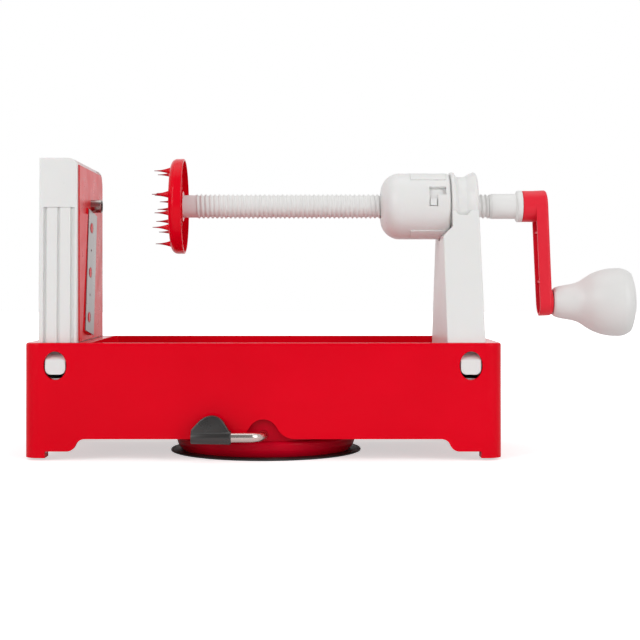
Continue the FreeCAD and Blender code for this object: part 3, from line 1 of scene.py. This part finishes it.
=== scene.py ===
import bpy
import math
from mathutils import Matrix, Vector


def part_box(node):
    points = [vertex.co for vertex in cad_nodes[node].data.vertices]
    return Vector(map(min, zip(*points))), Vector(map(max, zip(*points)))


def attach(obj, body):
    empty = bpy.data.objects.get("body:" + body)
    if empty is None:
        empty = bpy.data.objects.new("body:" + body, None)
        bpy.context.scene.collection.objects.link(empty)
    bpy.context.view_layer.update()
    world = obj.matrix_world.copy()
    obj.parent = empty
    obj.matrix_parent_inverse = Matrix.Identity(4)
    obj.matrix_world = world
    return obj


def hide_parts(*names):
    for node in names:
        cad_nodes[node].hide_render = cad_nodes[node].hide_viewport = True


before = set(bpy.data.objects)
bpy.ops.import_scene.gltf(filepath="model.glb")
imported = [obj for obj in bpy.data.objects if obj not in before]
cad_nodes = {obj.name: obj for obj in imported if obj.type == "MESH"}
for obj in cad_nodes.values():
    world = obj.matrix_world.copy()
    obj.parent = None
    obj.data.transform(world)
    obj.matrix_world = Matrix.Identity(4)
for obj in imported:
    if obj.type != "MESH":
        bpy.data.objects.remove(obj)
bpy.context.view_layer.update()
mm = 0.001

# ---------------------------------------------------------------- camera, floor and lamps

camera_data = bpy.data.cameras.new("camera")
camera_data.sensor_width = 36
camera_data.lens = 78.75
camera_data.shift_x = 0.0156
camera_data.shift_y = -0.0594
camera_data.clip_end = 20
camera = bpy.data.objects.new("camera", camera_data)
camera.location = (0.0278, -0.886, 0.1058)
camera.rotation_euler = (math.radians(90), 0, 0)
bpy.context.scene.collection.objects.link(camera)
bpy.context.scene.camera = camera


def softbox(name, place, aim, width, height, watts):
    """A rectangular studio lamp that stands at one place and faces another."""
    data = bpy.data.lights.new(name, "AREA")
    data.shape = "RECTANGLE"
    data.size = width
    data.size_y = height
    data.energy = watts
    lamp = bpy.data.objects.new(name, data)
    lamp.location = place
    lamp.rotation_euler = (Vector(aim) - Vector(place)).to_track_quat("-Z", "Y").to_euler()
    bpy.context.scene.collection.objects.link(lamp)


softbox("softbox_left", place=(-0.95, -1.15, 0.75), aim=(0, 0, 0.1), width=0.6, height=1.2, watts=7.8)
softbox("softbox_right", place=(1.05, -1.05, 0.65), aim=(0.05, 0, 0.1), width=0.6, height=1.2, watts=6.9)
softbox("softbox_top", place=(0.0, 0.1, 1.5), aim=(0, 0, 0.1), width=1.3, height=1.0, watts=2.8)


def joined(tree, operation, first, second):
    """Math node in a node tree; an input is a number or another node's output."""
    node = tree.nodes.new("ShaderNodeMath")
    node.operation = operation
    for socket, value in zip(node.inputs, (first, second)):
        if isinstance(value, (int, float)):
            socket.default_value = value
        else:
            tree.links.new(value, socket)
    return node.outputs[0]


def eased(tree, value, low, high, out_low, out_high):
    """Smooth step of a value from one range to another."""
    node = tree.nodes.new("ShaderNodeMapRange")
    node.interpolation_type = "SMOOTHSTEP"
    node.inputs["From Min"].default_value = low
    node.inputs["From Max"].default_value = high
    node.inputs["To Min"].default_value = out_low
    node.inputs["To Max"].default_value = out_high
    tree.links.new(value, node.inputs["Value"])
    return node.outputs["Result"]


def kinds_of_ray(tree):
    """Two switches: the camera's own rays with those through clear things, and mirrored rays."""
    path = tree.nodes.new("ShaderNodeLightPath")
    straight = joined(tree, "MAXIMUM", path.outputs["Is Camera Ray"], path.outputs["Is Transmission Ray"])
    return straight, path.outputs["Is Glossy Ray"]


# Mirrored rays meet a studio that is white behind the slicer and dim in front of it, where the
# open room is. The camera sees plain white, and all other light comes evenly from around.
even_level = 0.46
room_level = 0.22
room_ends, white_starts = -0.55, 0.25
world = bpy.data.worlds.new("studio")
bpy.context.scene.world = world
world.use_nodes = True
sky = world.node_tree
background = sky.nodes["Background"]
background.inputs["Color"].default_value = (1, 1, 1, 1)
heading = sky.nodes.new("ShaderNodeSeparateXYZ")
sky.links.new(sky.nodes.new("ShaderNodeTexCoord").outputs["Generated"], heading.inputs["Vector"])
mirrored_level = eased(sky, heading.outputs["Y"], room_ends, white_starts, room_level, 1.0)
straight, mirrored = kinds_of_ray(sky)
mirrored_light = joined(sky, "MULTIPLY", mirrored, mirrored_level)
not_mirrored = joined(sky, "SUBTRACT", 1.0, mirrored)
even_light = joined(sky, "MULTIPLY", not_mirrored, even_level)
other_light = joined(sky, "ADD", mirrored_light, even_light)
sky.links.new(joined(sky, "MAXIMUM", straight, other_light), background.inputs["Strength"])

# Paper that takes the slicer's shadow near it and runs out into plain white. It lies a hair
# under the rubber cup, whose underside would otherwise lie in the same plane.
paper_size = 8
paper_drop = 0.05 * mm
shadow_ends, white_paper_starts = 0.22, 0.75
glow_near, glow_far = 0.56, 1.0
glow_mirrored = 0.15
bpy.ops.object.select_all(action="DESELECT")
bpy.ops.mesh.primitive_plane_add(size=paper_size, location=(0, 0, -paper_drop))
floor = bpy.context.object
floor.name = "floor"
paper = bpy.data.materials.new("white_paper")
paper.use_nodes = True
sheet = paper.node_tree
paper_shader = sheet.nodes["Principled BSDF"]
paper_shader.inputs["Base Color"].default_value = (0.86, 0.86, 0.86, 1)
paper_shader.inputs["Roughness"].default_value = 0.9
paper_shader.inputs["Specular IOR Level"].default_value = 0.1
paper_shader.inputs["Emission Color"].default_value = (1, 1, 1, 1)
spot = sheet.nodes.new("ShaderNodeVectorMath")
spot.operation = "LENGTH"
sheet.links.new(sheet.nodes.new("ShaderNodeTexCoord").outputs["Object"], spot.inputs[0])
straight, mirrored = kinds_of_ray(sheet)
shown = joined(sheet, "MAXIMUM", straight, joined(sheet, "MULTIPLY", mirrored, glow_mirrored))
glow = eased(sheet, spot.outputs["Value"], shadow_ends, white_paper_starts, glow_near, glow_far)
sheet.links.new(joined(sheet, "MULTIPLY", shown, glow), paper_shader.inputs["Emission Strength"])
floor.data.materials.append(paper)

# ---------------------------------------------------------------- finishes

# Sockets of a Mix node, by the kind of value that it mixes
mix_factor, mix_values, mix_colours = 0, (2, 3), (6, 7)
mixed_value, mixed_colour = 0, 2


class Finish:
    """A material under construction: its shader and short ways to add and join nodes."""

    def __init__(self, name):
        self.material = bpy.data.materials.new(name)
        self.material.use_nodes = True
        self.nodes = self.material.node_tree.nodes
        self.links = self.material.node_tree.links
        self.shader = self.nodes["Principled BSDF"]
        self.place = self.nodes.new("ShaderNodeTexCoord").outputs["Object"]
        self.bump = None

    def set(self, **values):
        """Sets constants on the shader's own sockets."""
        for name, value in values.items():
            self.shader.inputs[name.replace("_", " ")].default_value = value

    def stretched(self, scale):
        """The place on the piece, scaled by axis: a small number draws a pattern out that way."""
        mapping = self.nodes.new("ShaderNodeMapping")
        mapping.inputs["Scale"].default_value = scale
        self.links.new(self.place, mapping.inputs["Vector"])
        return mapping.outputs["Vector"]

    def noise(self, scale, detail=2.0, rough=0.5, vector=None, distortion=0.0):
        """Noise over the place on the piece, or over another vector."""
        node = self.nodes.new("ShaderNodeTexNoise")
        node.inputs["Scale"].default_value = scale
        node.inputs["Detail"].default_value = detail
        node.inputs["Roughness"].default_value = rough
        node.inputs["Distortion"].default_value = distortion
        self.links.new(vector or self.place, node.inputs["Vector"])
        return node.outputs["Fac"]

    def ramp(self, value, low, high, out_low, out_high):
        """Straight step of a value from one range to another."""
        node = self.nodes.new("ShaderNodeMapRange")
        node.inputs["From Min"].default_value = low
        node.inputs["From Max"].default_value = high
        node.inputs["To Min"].default_value = out_low
        node.inputs["To Max"].default_value = out_high
        self.links.new(value, node.inputs["Value"])
        return node.outputs["Result"]

    def blend_colours(self, value, first, second):
        """Mixes two colours, each a tuple or another node's output."""
        node = self.nodes.new("ShaderNodeMix")
        node.data_type = "RGBA"
        self.links.new(value, node.inputs["Factor"])
        for socket, colour in zip(mix_colours, (first, second)):
            if isinstance(colour, tuple):
                node.inputs[socket].default_value = colour + (1,)
            else:
                self.links.new(colour, node.inputs[socket])
        return node.outputs[mixed_colour]

    def blend_values(self, value, first, second):
        """Mixes two nodes' outputs."""
        node = self.nodes.new("ShaderNodeMix")
        self.links.new(value, node.inputs[mix_factor])
        for socket, source in zip(mix_values, (first, second)):
            self.links.new(source, node.inputs[socket])
        return node.outputs[mixed_value]

    def soften_edges(self, radius):
        """Rounds the shading of sharp edges, as a mould or a tumbling drum leaves them."""
        node = self.nodes.new("ShaderNodeBevel")
        node.samples = 6
        node.inputs["Radius"].default_value = radius
        self.bump = node.outputs["Normal"]
        self.links.new(self.bump, self.shader.inputs["Normal"])

    def colour_from(self, output):
        self.links.new(output, self.shader.inputs["Base Color"])

    def roughness_from(self, output):
        self.links.new(output, self.shader.inputs["Roughness"])

    def relief(self, height, depth):
        """Adds a bump; height runs 0 to 1 and depth is in metres."""
        node = self.nodes.new("ShaderNodeBump")
        node.inputs["Strength"].default_value = 1.0
        node.inputs["Distance"].default_value = depth
        self.links.new(height, node.inputs["Height"])
        if self.bump:
            self.links.new(self.bump, node.inputs["Normal"])
        self.bump = node.outputs["Normal"]
        self.links.new(self.bump, self.shader.inputs["Normal"])


# Refractive index of the plastics and the rubber, and the depth of the finest scuffs
plastic_index = 1.5
hairline_depth = 0.000003


def moulded_plastic(name, colour, deep, roughness, sink, grain, softened=0.0005):
    """Injection-moulded plastic: flow clouding, slow sink waviness, mould grain and hairline scuffs."""
    finish = Finish(name)
    finish.set(IOR=plastic_index)
    finish.soften_edges(softened)
    clouds = finish.noise(scale=11, detail=3, rough=0.55)
    cloudy = finish.blend_colours(finish.ramp(clouds, 0.32, 0.68, 0, 1), deep, colour)
    flow = finish.stretched((0.35, 1.6, 1.0))
    streaks = finish.noise(scale=38, detail=3, rough=0.6, vector=flow, distortion=0.6)
    streaky = finish.blend_colours(finish.ramp(streaks, 0.45, 0.8, 0, 0.35), cloudy, deep)
    finish.colour_from(streaky)
    handled = finish.noise(scale=55, detail=4, rough=0.62)
    dullest = roughness * 1.55 + 0.02
    finish.roughness_from(finish.ramp(handled, 0.3, 0.75, roughness, dullest))
    finish.relief(finish.noise(scale=16, detail=1, rough=0.4), sink)
    finish.relief(finish.noise(scale=1900), grain)
    scuffed = finish.stretched((1.0, 0.06, 0.5))
    hairlines = finish.noise(scale=420, vector=scuffed, distortion=1.4)
    finish.relief(finish.ramp(hairlines, 0.63, 0.70, 0, 1), hairline_depth)
    return finish


bright_red = (0.81, 0.0005, 0.0135)
deep_red = (0.74, 0.0003, 0.0105)
red_gloss = moulded_plastic("red_gloss_plastic", bright_red, deep_red,
                            roughness=0.13, sink=0.00004, grain=0.000003)
red_gloss.set(Specular_IOR_Level=0.07)
# Darker copy of the red for the suction housing: painted shade, for the shadow it lies in under the
# tray's overhang.
red_skirt_painted_shade = moulded_plastic("red_skirt_plastic", (0.60, 0.0005, 0.0170), (0.53, 0.0004, 0.0140),
                            roughness=0.16, sink=0.00004, grain=0.000003)
red_skirt_painted_shade.set(Specular_IOR_Level=0.08)
# Lighter copy of the red for the crank arm: its brighter base colour is painted light, for the light on
# the arm's front face; the higher specular level is the arm's own gloss.
red_crank_painted_light = moulded_plastic("red_crank_plastic", (0.86, 0.0010, 0.0240), (0.78, 0.0007, 0.0200),
                            roughness=0.30, sink=0.00003, grain=0.000004)
red_crank_painted_light.set(Specular_IOR_Level=0.5)
red_insert = moulded_plastic("red_insert_plastic", bright_red, deep_red,
                             roughness=0.24, sink=0.00003, grain=0.000004)
red_insert.set(Specular_IOR_Level=0.22)

milk_white = (0.835, 0.835, 0.828)
warm_white = (0.805, 0.803, 0.790)
white_satin = moulded_plastic("white_satin_plastic", milk_white, warm_white,
                              roughness=0.27, sink=0.000025, grain=0.000004)
white_satin.set(Subsurface_Weight=0.05, Subsurface_Scale=0.002)
white_thread = moulded_plastic("white_thread_plastic", milk_white, warm_white,
                               roughness=0.32, sink=0.00001, grain=0.000004, softened=0.0002)
white_knob = moulded_plastic("white_knob_plastic", (0.79, 0.79, 0.78), (0.765, 0.762, 0.75),
                             roughness=0.30, sink=0.00002, grain=0.000006)
dark_grey = moulded_plastic("dark_grey_plastic", (0.024, 0.021, 0.020), (0.018, 0.016, 0.0155),
                            roughness=0.24, sink=0.000006, grain=0.000004)
dark_grey.set(Specular_IOR_Level=0.85)


def darken_tips_painted_shade(finish, from_x, to_x, shade_colour):
    """Darkens the spikes towards their tips: painted shade, for the shade that falls on the thin spikes.
    """
    spread = finish.nodes.new("ShaderNodeSeparateXYZ")
    finish.links.new(finish.place, spread.inputs["Vector"])
    reach = finish.ramp(spread.outputs["X"], from_x, to_x, 0, 0.8)
    plain = finish.shader.inputs["Base Color"].links[0].from_socket
    finish.colour_from(finish.blend_colours(reach, plain, shade_colour))


red_disc = moulded_plastic("red_disc_plastic", bright_red, deep_red,
                           roughness=0.15, sink=0.00003, grain=0.000003, softened=0.0003)
red_disc.set(Specular_IOR_Level=0.13)
# The spikes' last stretch gets painted shade, darkest at the tips.
spike_tip_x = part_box("spiked_disc")[0][0]
painted_shade_length = 0.0085
darken_tips_painted_shade(red_disc, spike_tip_x + painted_shade_length, spike_tip_x, (0.10, 0.004, 0.010))

# Depth of drawing and grinding lines, and how far to each side of a bend the two directions mix
default_line_depth = 0.000004
bend_blend = 0.002


def steel(name, light, dark, roughness, stretches, depth=default_line_depth, bend_x=None):
    """Stainless steel with drawing or grinding lines, which change direction at a rod's bend."""
    finish = Finish(name)
    finish.set(Metallic=1.0)
    finish.soften_edges(0.0002)
    lines = finish.noise(scale=260, detail=3, rough=0.6, vector=finish.stretched(stretches[0]))
    if bend_x is not None:
        other = finish.noise(scale=260, detail=3, rough=0.6, vector=finish.stretched(stretches[1]))
        spread = finish.nodes.new("ShaderNodeSeparateXYZ")
        finish.links.new(finish.place, spread.inputs["Vector"])
        side = finish.ramp(spread.outputs["X"], bend_x - bend_blend, bend_x + bend_blend, 0, 1)
        lines = finish.blend_values(side, lines, other)
    stains = finish.noise(scale=45, detail=4, rough=0.6)
    ground = finish.blend_colours(lines, dark, light)
    tinted = finish.blend_colours(finish.ramp(stains, 0.45, 0.75, 0, 0.4), ground, dark)
    finish.colour_from(tinted)
    finish.roughness_from(finish.ramp(lines, 0.3, 0.7, roughness, roughness + 0.14))
    finish.relief(lines, depth)
    return finish


steel_rod = steel("drawn_steel_rod", (0.84, 0.75, 0.71), (0.62, 0.54, 0.505), roughness=0.17,
                  stretches=((0.04, 3, 3), (3, 0.04, 3)), bend_x=-0.006)
steel_blade = steel("ground_blade_steel", (0.46, 0.43, 0.425), (0.33, 0.305, 0.30), roughness=0.24,
                    stretches=((2.2, 2.2, 0.05),))
steel_tube = steel("drawn_steel_tube", (0.50, 0.46, 0.44), (0.34, 0.30, 0.29), roughness=0.18,
                   stretches=((0.05, 3, 3),))
steel_turned = steel("turned_steel", (0.60, 0.58, 0.56), (0.45, 0.43, 0.41), roughness=0.20,
                     stretches=((3, 0.6, 0.6),))
steel_small = steel("zinc_plated_steel", (0.58, 0.58, 0.60), (0.42, 0.42, 0.44), roughness=0.26,
                    stretches=((1, 1, 1),), depth=0.000008)

rubber = Finish("black_cup_rubber")
rubber.set(IOR=plastic_index)
rubber.soften_edges(0.0004)
rubber_dark = (0.011, 0.010, 0.010)
rubber_bloom = (0.034, 0.032, 0.031)
bloom = rubber.ramp(rubber.noise(scale=34, detail=5, rough=0.65), 0.42, 0.75, 0, 1)
rubber.colour_from(rubber.blend_colours(bloom, rubber_dark, rubber_bloom))
rubber.roughness_from(rubber.ramp(rubber.noise(scale=300, detail=3), 0.3, 0.7, 0.42, 0.60))
rubber.relief(rubber.noise(scale=2200), 0.00001)

node_finish = {
    red_gloss: ["base_tray"],
    red_skirt_painted_shade: ["suction_housing"],
    red_insert: ["blade_plate"],
    red_disc: ["spiked_disc"],
    red_crank_painted_light: ["crank_arm"],
    white_satin: ["blade_tower", "crank_tower", "release_collar", "blade_tower_latch_front",
                  "blade_tower_latch_rear", "crank_tower_latch_front", "crank_tower_latch_rear",
                  "upper_half_nut", "lower_half_nut"],
    white_thread: ["threaded_shaft"],
    white_knob: ["knob", "knob_plug"],
    dark_grey: ["lever_handle", "bearing_caps"],
    rubber: ["suction_cup"],
    steel_rod: ["lever_rod"],
    steel_blade: ["slicing_blade"],
    steel_tube: ["coring_tube"],
    steel_turned: ["tie_rod", "knob_pin", "cup_stem", "cup_washer"],
    steel_small: ["crank_nut", "nut_springs", "bearing_screws", "housing_screws"],
}
for finish, finished_nodes in node_finish.items():
    for node in finished_nodes:
        mesh = cad_nodes[node].data
        mesh.materials.clear()
        mesh.materials.append(finish.material)

# ---------------------------------------------------------------- thumb tab and rubber cup


def settled():
    """The piece just added, with its place, turn and size worked into its mesh."""
    bpy.ops.object.transform_apply(location=True, rotation=True, scale=True)
    return bpy.context.object


def select_only(piece):
    """Makes one piece the only selected and the active one."""
    bpy.ops.object.select_all(action="DESELECT")
    piece.select_set(True)
    bpy.context.view_layer.objects.active = piece


def apply_modifier(piece, kind, **values):
    """Adds one modifier to a piece, sets it and applies it."""
    modifier = piece.modifiers.new(kind.lower(), kind)
    for name, value in values.items():
        setattr(modifier, name, value)
    select_only(piece)
    bpy.ops.object.modifier_apply(modifier=modifier.name)


def round_edges(piece, width, least_turn):
    """Rounds the edges where a piece's surface turns by more than some degrees."""
    apply_modifier(piece, "BEVEL", width=width, segments=3, limit_method="ANGLE",
                   angle_limit=math.radians(least_turn))


def select_edges(piece, wanted):
    """Selects in edit mode the edges whose two ends pass a test."""
    bpy.ops.mesh.select_mode(type="EDGE")
    bpy.ops.mesh.select_all(action="DESELECT")
    bpy.ops.object.mode_set(mode="OBJECT")
    for edge in piece.data.edges:
        ends = [piece.data.vertices[corner].co for corner in edge.vertices]
        edge.select = wanted(ends)
    bpy.ops.object.mode_set(mode="EDIT")


def cut_flank(shoulder, slope):
    """Cuts the tab off above a flank that leaves a shoulder at a slope from +X towards +Z."""
    side = 1 if slope < math.radians(90) else -1
    outwards = (-side * math.sin(slope), 0, side * math.cos(slope))
    bpy.ops.mesh.select_all(action="SELECT")
    bpy.ops.mesh.bisect(plane_co=shoulder, plane_no=outwards, use_fill=True, clear_outer=True)


def thumb_tab():
    """The lever's grip: a round-crowned tab on a sleeve that narrows to the left, bored for the rod."""
    low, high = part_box("lever_handle")
    sleeve_radius = (high.y - low.y) / 2
    rod_y = (low.y + high.y) / 2
    rod_z = low.z + sleeve_radius
    middle_x = (low.x + high.x) / 2
    length = high.x - low.x
    tab_thickness, tab_height = 5.0 * mm, 12.9 * mm
    # How much shorter than the sleeve the tab is
    tab_inset = 0.2 * mm
    left_shoulder, right_shoulder = 4.4 * mm, 2.4 * mm
    left_slope, right_slope = math.radians(47.5), math.radians(122)
    crown_reach, crown_steps = 4.5 * mm, 20
    tab_edge, sleeve_edge = 0.7 * mm, 0.6 * mm
    tail_radius = 3.75 * mm
    rod_radius = 2.97 * mm
    # Closes the bore at the sleeve's narrow end
    tail_wall = 2.1 * mm
    facets = 72
    near = 0.01 * mm
    along_x = (0, math.radians(90), 0)

    bpy.ops.object.select_all(action="DESELECT")
    bpy.ops.mesh.primitive_cube_add(size=1, location=(middle_x, rod_y, rod_z + tab_height / 2),
                                    scale=(length - tab_inset, tab_thickness, tab_height))
    tab = settled()
    tab.name = "thumb_tab"
    bpy.ops.object.mode_set(mode="EDIT")
    cut_flank((low.x, rod_y, rod_z + left_shoulder), left_slope)
    cut_flank((high.x, rod_y, rod_z + right_shoulder), right_slope)
    crown_z = rod_z + tab_height - near
    select_edges(tab, lambda ends: all(end.z > crown_z for end in ends)
                 and abs(ends[0].x - ends[1].x) < near)
    bpy.ops.mesh.bevel(offset=crown_reach, offset_type="OFFSET", segments=crown_steps, profile=0.5,
                       affect="EDGES")
    bpy.ops.object.mode_set(mode="OBJECT")
    round_edges(tab, tab_edge, least_turn=25)

    bpy.ops.object.select_all(action="DESELECT")
    bpy.ops.mesh.primitive_cone_add(vertices=facets, radius1=tail_radius, radius2=sleeve_radius,
                                    depth=length, location=(middle_x, rod_y, rod_z), rotation=along_x)
    sleeve = settled()
    round_edges(sleeve, sleeve_edge, least_turn=30)
    bpy.ops.object.select_all(action="DESELECT")
    bpy.ops.mesh.primitive_cylinder_add(vertices=facets, radius=rod_radius, depth=length,
                                        location=(high.x - length / 2 + tail_wall, rod_y, rod_z),
                                        rotation=along_x)
    bore = settled()
    apply_modifier(tab, "BOOLEAN", operation="UNION", solver="EXACT", object=sleeve)
    apply_modifier(tab, "BOOLEAN", operation="DIFFERENCE", solver="EXACT", object=bore)
    bpy.data.objects.remove(sleeve)
    bpy.data.objects.remove(bore)
    select_only(tab)
    bpy.ops.object.shade_smooth_by_angle(angle=math.radians(35))
    return tab


def rubber_cup():
    """Suction cup: grooved and slightly dished below, with a rolled lip, a flange and a stem's hub."""
    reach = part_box("suction_cup")[1][1] / mm
    hub_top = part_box("suction_cup")[1][2] / mm
    groove_width, groove_depth, groove_slope = 1.5, 0.35, 0.3
    stem_hole = 4.2
    start_radius, start_height = 4.0, 0.55

    # Radii and heights in millimetres, from the middle of the underside out and back over the top
    dish = [(16, 0.50), (34, 0.38), (44, 0.10)]
    grooves = []
    for inner in (45.0, 48.5, 52.0):
        grooves += [(inner, 0.0), (inner + groove_slope, groove_depth),
                    (inner + groove_width, groove_depth), (inner + groove_width + groove_slope, 0.0)]
    rolled_lip = [(reach - 0.7, 0.0), (reach - 0.15, 0.2), (reach, 0.6), (reach - 0.3, 1.12),
                  (reach - 0.95, 1.3), (reach - 1.6, 1.12), (reach - 2.2, 0.95)]
    flange = [(reach - 3.2, 1.2), (reach - 5.2, 1.38), (reach - 9.9, 1.38), (32, 2.3), (15, 3.2)]
    hub = [(11.4, 3.9), (9.3, hub_top - 0.3), (8.9, hub_top), (stem_hole, hub_top), (stem_hole, 1.2)]

    bpy.ops.object.select_all(action="DESELECT")
    bpy.ops.mesh.primitive_circle_add(vertices=144, radius=start_radius * mm, fill_type="TRIFAN",
                                      location=(0, 0, start_height * mm))
    piece = settled()
    piece.name = "rubber_cup"
    bpy.ops.object.mode_set(mode="EDIT")
    bpy.ops.mesh.select_all(action="SELECT")
    radius, height = start_radius, start_height
    for next_radius, next_height in dish + grooves + rolled_lip + flange + hub:
        rise = (0, 0, (next_height - height) * mm)
        spread = next_radius / radius
        bpy.ops.mesh.extrude_region_move(TRANSFORM_OT_translate={"value": rise})
        bpy.ops.transform.resize(value=(spread, spread, 1), center_override=(0, 0, 0))
        radius, height = next_radius, next_height
    bpy.ops.mesh.select_all(action="SELECT")
    bpy.ops.mesh.normals_make_consistent(inside=False)
    bpy.ops.object.mode_set(mode="OBJECT")
    select_only(piece)
    bpy.ops.object.shade_smooth_by_angle(angle=math.radians(40))
    return piece


for piece, node, body, slot, finish in (
        (thumb_tab(), "lever_handle", "lever", "dark_grey_plastic", dark_grey),
        (rubber_cup(), "suction_cup", "base", "black_rubber", rubber)):
    piece.data.materials.clear()
    piece.data.materials.append(finish.material)
    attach(piece, body)
    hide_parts(node)

# ---------------------------------------------------------------- colour view

bpy.context.scene.view_settings.view_transform = "Standard"
